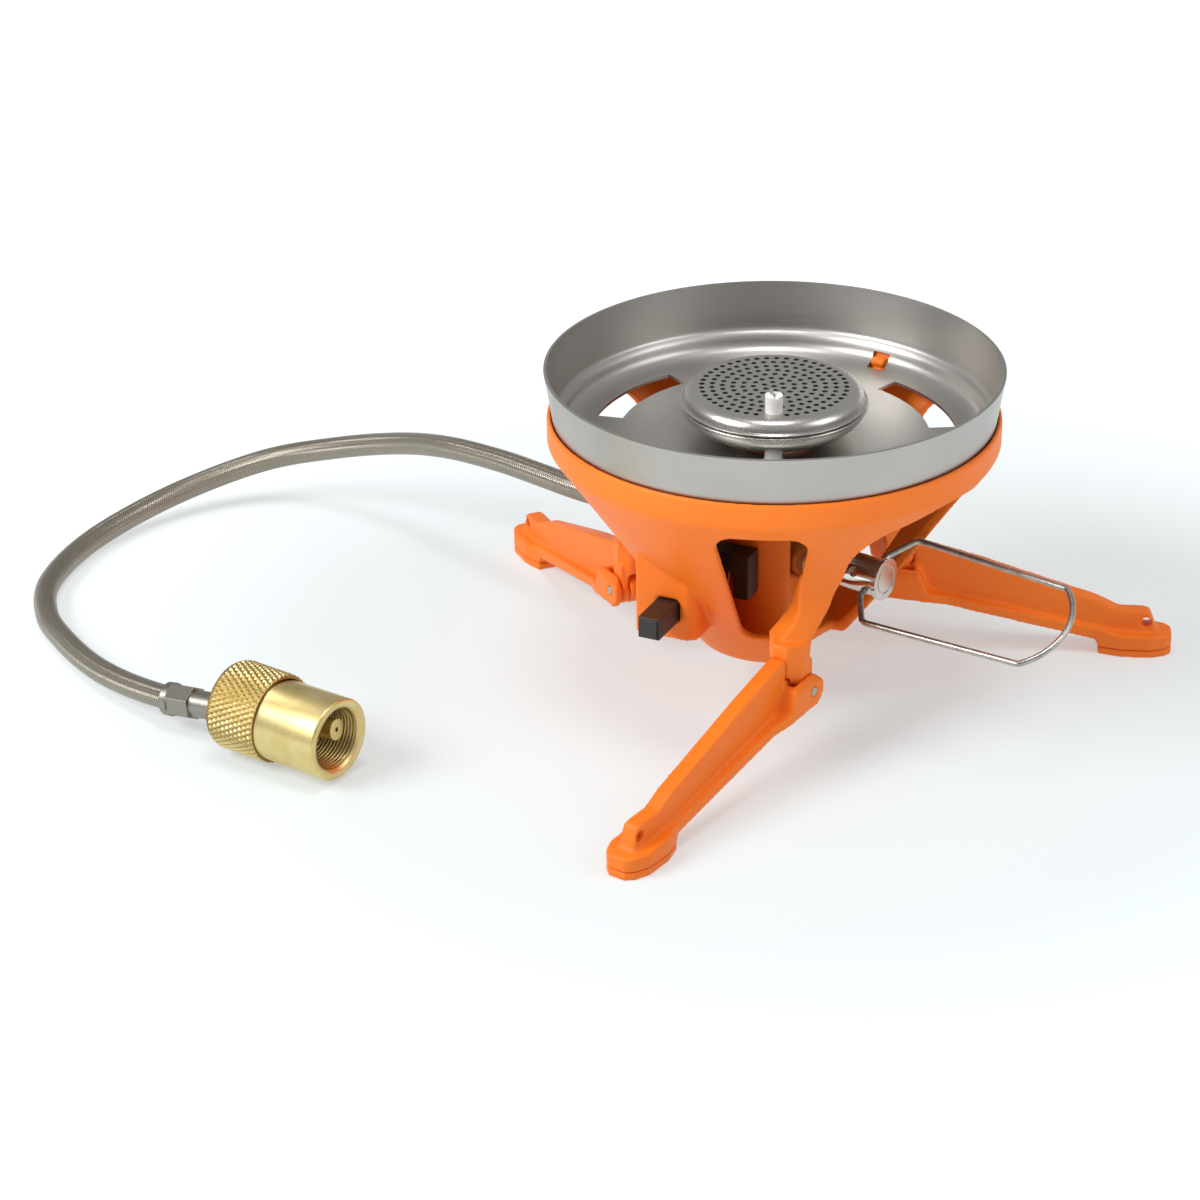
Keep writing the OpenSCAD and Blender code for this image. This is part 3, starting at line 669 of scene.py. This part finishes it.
# turns a lathe's local X to point up
up_place = Matrix(((0, 0, -1, 0), (0, 1, 0, 0), (1, 0, 0, 0), (0, 0, 0, 1)))
BEND_Z, BEND_MID_R, BEND_R, BEND_STEPS = 82.85, 20.4, 3.35, 8
shoulder_line = [(86.2, 20.35)]  # height and radius in millimetres
for k in range(1, BEND_STEPS + 1):
    a = deg(90 - 82 * k / BEND_STEPS)
    shoulder_line.append((BEND_Z + BEND_R * math.sin(a), BEND_MID_R + BEND_R * math.cos(a)))
shoulder_line += [(83.1, 23.8), (83.02, 24.2), (82.95, 24.5), (82.8, 24.63), (82.6, 24.6),
                  (82.44, 24.35), (82.44, 22.95), (83.3, 22.75), (84.4, 22.0), (85.3, 20.9), (85.76, 20.35),
                  (86.2, 20.35)]
shoulder = lathe("burner_shoulder", [(z * MM, r * MM) for z, r in shoulder_line], 128, up_place)
auto_smooth(dress(shoulder, burner_steel), 40)
for piece in (disc, shoulder):
    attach(piece, "stove")
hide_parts("burner_cap")

# ---------------------------------------------------------------- pressed flame ring
WINDOW_FROM, WINDOW_TO, WINDOW_IN, WINDOW_OUT = 6.3, 47.2, 40.9, 48.1  # degrees, then millimetres
SLOT_MID, SLOT_HALF, SLOT_IN, SLOT_OUT = 58, 2.65, 51.3, 56.15
RING_STEPS = 180
RING_LINE = [(60.0, 92.0), (59.3, 88.0), (58.7, 84.0), (58.15, 80.4), (58.05, 79.4), (57.75, 78.5), (57.2, 77.9),
             (56.65, 77.45), (56.3, 76.8), (56.1, 76.1), (55.9, 75.4), (55.5, 74.6), (54.8, 73.8), (53.8, 73.1),
             (52.7, 72.6), (51.4, 72.25), (49.6, 72.05), (48.1, 72.0), (45.6, 72.0), (43.2, 72.0), (40.9, 72.0),
             (36.0, 72.0), (30.0, 72.0), (24.0, 72.0), (18.0, 72.0), (13.0, 72.0)]


def prism(x, y, r, z0, z1, sides):
    """Vertices and faces of an upright prism about (x, y)."""
    round_points = circle_points(x, y, r, sides)
    verts = [Vector((px, py, z)) for z in (z0, z1) for px, py in round_points]
    faces = [tuple(range(sides - 1, -1, -1)), tuple(range(sides, 2 * sides))]
    faces += [(k, (k + 1) % sides, sides + (k + 1) % sides, sides + k) for k in range(sides)]
    return verts, faces


def pressed_ring():
    """The ring as one sheet: faces are left out at the windows and slots, then it is given its thickness."""
    cuts = []
    for k in range(3):
        for a in (WINDOW_FROM, WINDOW_TO, SLOT_MID - SLOT_HALF, SLOT_MID + SLOT_HALF):
            cuts.append((a + 120 * k) % 360)
    angles = sorted(set([round(360 * i / RING_STEPS, 4) for i in range(RING_STEPS)] + cuts))
    angles = [a for a in angles if all(a in cuts or min(abs(a - c), 360 - abs(a - c)) > 0.5 for c in cuts)]
    n, m = len(angles), len(RING_LINE)
    verts = [Vector((r * MM * math.cos(deg(a)), r * MM * math.sin(deg(a)), z * MM))
             for a in angles for r, z in RING_LINE]
    faces = []
    for i in range(n):
        j = (i + 1) % n
        mid = (angles[i] + ((angles[j] - angles[i]) % 360) / 2) % 120
        for p in range(m - 1):
            r = (RING_LINE[p][0] + RING_LINE[p + 1][0]) / 2
            window = WINDOW_FROM < mid < WINDOW_TO and WINDOW_IN < r < WINDOW_OUT
            slot = abs(mid - SLOT_MID) < SLOT_HALF and SLOT_IN < r < SLOT_OUT
            if not (window or slot):
                faces.append((i * m + p, j * m + p, j * m + p + 1, i * m + p + 1))
    obj = add_mesh("pressed_ring", verts, faces)
    bm = bmesh.new()
    bm.from_mesh(obj.data)
    bmesh.ops.recalc_face_normals(bm, faces=bm.faces)
    if sum(f.normal.z for f in bm.faces) < 0:
        bmesh.ops.reverse_faces(bm, faces=bm.faces)
    bmesh.ops.delete(bm, geom=[v for v in bm.verts if not v.link_faces], context="VERTS")
    bm.to_mesh(obj.data)
    bm.free()
    thick = obj.modifiers.new("thickness", "SOLIDIFY")
    thick.thickness = 0.8 * MM
    thick.offset = 1.0
    thick.use_even_offset = True
    drill = add_mesh("drill", *prism(0, ELECTRODE_Y, 2.8 * MM, 70 * MM, 75 * MM, 32), False)
    hole = obj.modifiers.new("hole", "BOOLEAN")
    hole.operation = "DIFFERENCE"
    hole.solver = "EXACT"
    hole.object = drill
    bpy.context.view_layer.update()
    done = bpy.data.meshes.new_from_object(obj.evaluated_get(bpy.context.evaluated_depsgraph_get()))
    obj.modifiers.clear()
    obj.data = done
    bpy.data.objects.remove(drill)
    return obj


ring = auto_smooth(dress(pressed_ring(), ring_steel), 45)
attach(ring, "stove")
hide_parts("flame_ring")

# ---------------------------------------------------------------- burner bowl with its rolled seam
bowl_line = [(82.38, 23.2), (82.38, 23.7), (82.05, 23.75), (82.0, 24.2), (81.85, 24.5), (81.6, 24.62), (81.3, 24.55),
             (81.05, 24.3), (80.9, 24.05), (80.6, 23.95), (80.0, 23.8), (79.2, 23.35), (78.4, 22.7),
             (77.6, 21.8), (76.8, 20.7), (76.0, 19.3),
             (75.3, 17.8), (74.6, 15.9), (73.9, 13.9), (73.2, 11.9), (72.4, 10.2), (71.4, 9.1), (70.2, 8.55),
             (69.0, 8.4), (64.0, 8.4), (64.0, 7.65), (69.0, 7.65), (70.6, 7.9), (71.9, 8.6), (73.1, 10.0),
             (74.2, 12.4), (75.4, 15.6), (76.6, 18.6), (78.0, 21.0), (79.6, 22.6), (81.0, 23.1), (82.38, 23.2)]
bowl = lathe("burner_bowl", [(z * MM, r * MM) for z, r in bowl_line], 128, up_place)
auto_smooth(dress(bowl, burner_steel), 40)
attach(bowl, "stove")
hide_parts("burner_cup")

# ---------------------------------------------------------------- wire handle
PIVOT = Vector(joints["handle_swing"]["pos_m"])
CROSS = Vector(joints["handle_swing"]["axis"])
pivot_f = PIVOT.dot(valve_axis)


def on_bail(f, w):
    """The point f millimetres out along the valve's axis and w to the side."""
    return PIVOT + valve_axis * (f * MM - pivot_f) + CROSS * (w * MM)


BOW_MID, BOW_R, WIRE_R = 71.6, 17, 0.82 * MM
bail_half = [(31.8, 3.2), (31.8, 7.4), (36.8, 15.0), (82.2, 13.3)]
bail_r = [0, 1.5, 2.6, 1.9]
bail_points = [on_bail(f, w) for f, w in bail_half]
arc_points = [on_bail(BOW_MID + BOW_R * math.cos(deg(a)), BOW_R * math.sin(deg(a))) for a in range(44, -45, -8)]
bail_points += arc_points + [on_bail(f, -w) for f, w in reversed(bail_half)]
radii = [r * MM for r in bail_r] + [0] * len(arc_points) + [r * MM for r in reversed(bail_r)]
bail_line = fillet(bail_points, radii, 8)
handle = dress(tube("bail_wire", bail_line, WIRE_R, 20), satin_wire())
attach(handle, "handle")
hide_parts("wire_handle")

# ---------------------------------------------------------------- return spring behind the button
press = Vector(joints["button_press"]["axis"])
lo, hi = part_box("piezo_spring")
mid = (Vector(lo) + Vector(hi)) / 2
side = press.cross(Vector((0, 0, 1))).normalized()
half_len, coil_r, turns, steps_per_turn = 3.2 * MM, 1.9 * MM, 7, 24
coil = []
for i in range(turns * steps_per_turn + 1):
    t = i / (turns * steps_per_turn)
    a = 2 * math.pi * turns * t
    coil.append(mid - press * half_len + press * (2 * half_len * t)
                + coil_r * (math.cos(a) * side + math.sin(a) * Vector((0, 0, 1))))
spring = dress(tube("button_spring", coil, 0.25 * MM, 10), plain_steel)
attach(spring, "stove")
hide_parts("piezo_spring")
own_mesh(spring)

# ---------------------------------------------------------------- moulded pieces with softened edges
def softened(name, voxel, rounds):
    """A copy of a CAD node with its edges worn round, as a moulding's are: remeshed evenly, then smoothed."""
    source = nodes[name]
    mesh = source.data.copy()
    mesh.transform(source.matrix_world)
    obj = bpy.data.objects.new(name + "_soft", mesh)
    bpy.context.scene.collection.objects.link(obj)
    grid = obj.modifiers.new("grid", "REMESH")
    grid.mode = "VOXEL"
    grid.voxel_size = voxel
    grid.use_smooth_shade = True
    relax = obj.modifiers.new("relax", "SMOOTH")
    relax.factor = 0.5
    relax.iterations = rounds
    bpy.context.view_layer.update()
    done = bpy.data.meshes.new_from_object(obj.evaluated_get(bpy.context.evaluated_depsgraph_get()))
    obj.modifiers.clear()
    obj.data = done
    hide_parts(name)
    return dress(obj, orange)


for k in (1, 2, 3):
    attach(softened("leg_%d" % k, 0.45 * MM, 6), "leg_%d" % k)
    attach(softened("foot_pad_%d" % k, 0.3 * MM, 3), "leg_%d" % k)
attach(softened("body_shell", 0.5 * MM, 5), "stove")

# ---------------------------------------------------------------- floor, lights and background
# The floor glows more with distance from the stove, so it runs out to white as in the photograph
floor_mat = Graph("painted_glow_floor")
fx, fy, _ = floor_mat.split()
squares = [floor_mat.math("MULTIPLY", s, s) for s in (fx, fy)]
away = floor_mat.math("SQRT", floor_mat.math("ADD", *squares))
# Painted light: the floor's glow is no lamp. Its dimmer glow near the stove is painted shade round the stove, and
# its cyan-tinted colour offsets the orange light bounced onto it from the stove.
floor_mat.set(Base_Color=(0.43, 0.485, 0.495, 1), Roughness=0.6, Emission_Color=(1, 1, 1, 1),
              Emission_Strength=floor_mat.span(away, 0.38, 0.95, 0.13, 0.42))
floor_mat.bsdf.inputs["Specular IOR Level"].default_value = 0.15
floor = add_mesh("floor", [(-6, -4, 0), (6, -4, 0), (6, 8, 0), (-6, 8, 0)], [(0, 1, 2, 3)], False)
floor.location.z = -0.00005
dress(floor, floor_mat.mat)

world = bpy.data.worlds.new("studio")
world.use_nodes = True
bpy.context.scene.world = world
world.node_tree.nodes["Background"].inputs[0].default_value = (1.0, 1.0, 1.0, 1)
world.node_tree.nodes["Background"].inputs[1].default_value = 0.42


LIT_POINT = Vector((0, 0, 0.05))


def area(name, place, size, power):
    """A white area light that points at the stove."""
    data = bpy.data.lights.new(name, "AREA")
    data.shape = "RECTANGLE"
    data.size, data.size_y = size
    data.energy = power
    obj = bpy.data.objects.new(name, data)
    obj.location = place
    obj.rotation_euler = (LIT_POINT - Vector(place)).to_track_quat("-Z", "Y").to_euler()
    bpy.context.scene.collection.objects.link(obj)


area("key", (-1.15, -0.55, 1.0), (0.8, 0.7), 19)
area("fill", (1.15, -0.35, 0.9), (0.7, 0.8), 4.5)
area("top", (0.0, -0.25, 1.6), (0.5, 0.5), 7)
bpy.context.scene.view_settings.view_transform = "Standard"
bpy.context.scene.view_settings.look = "None"
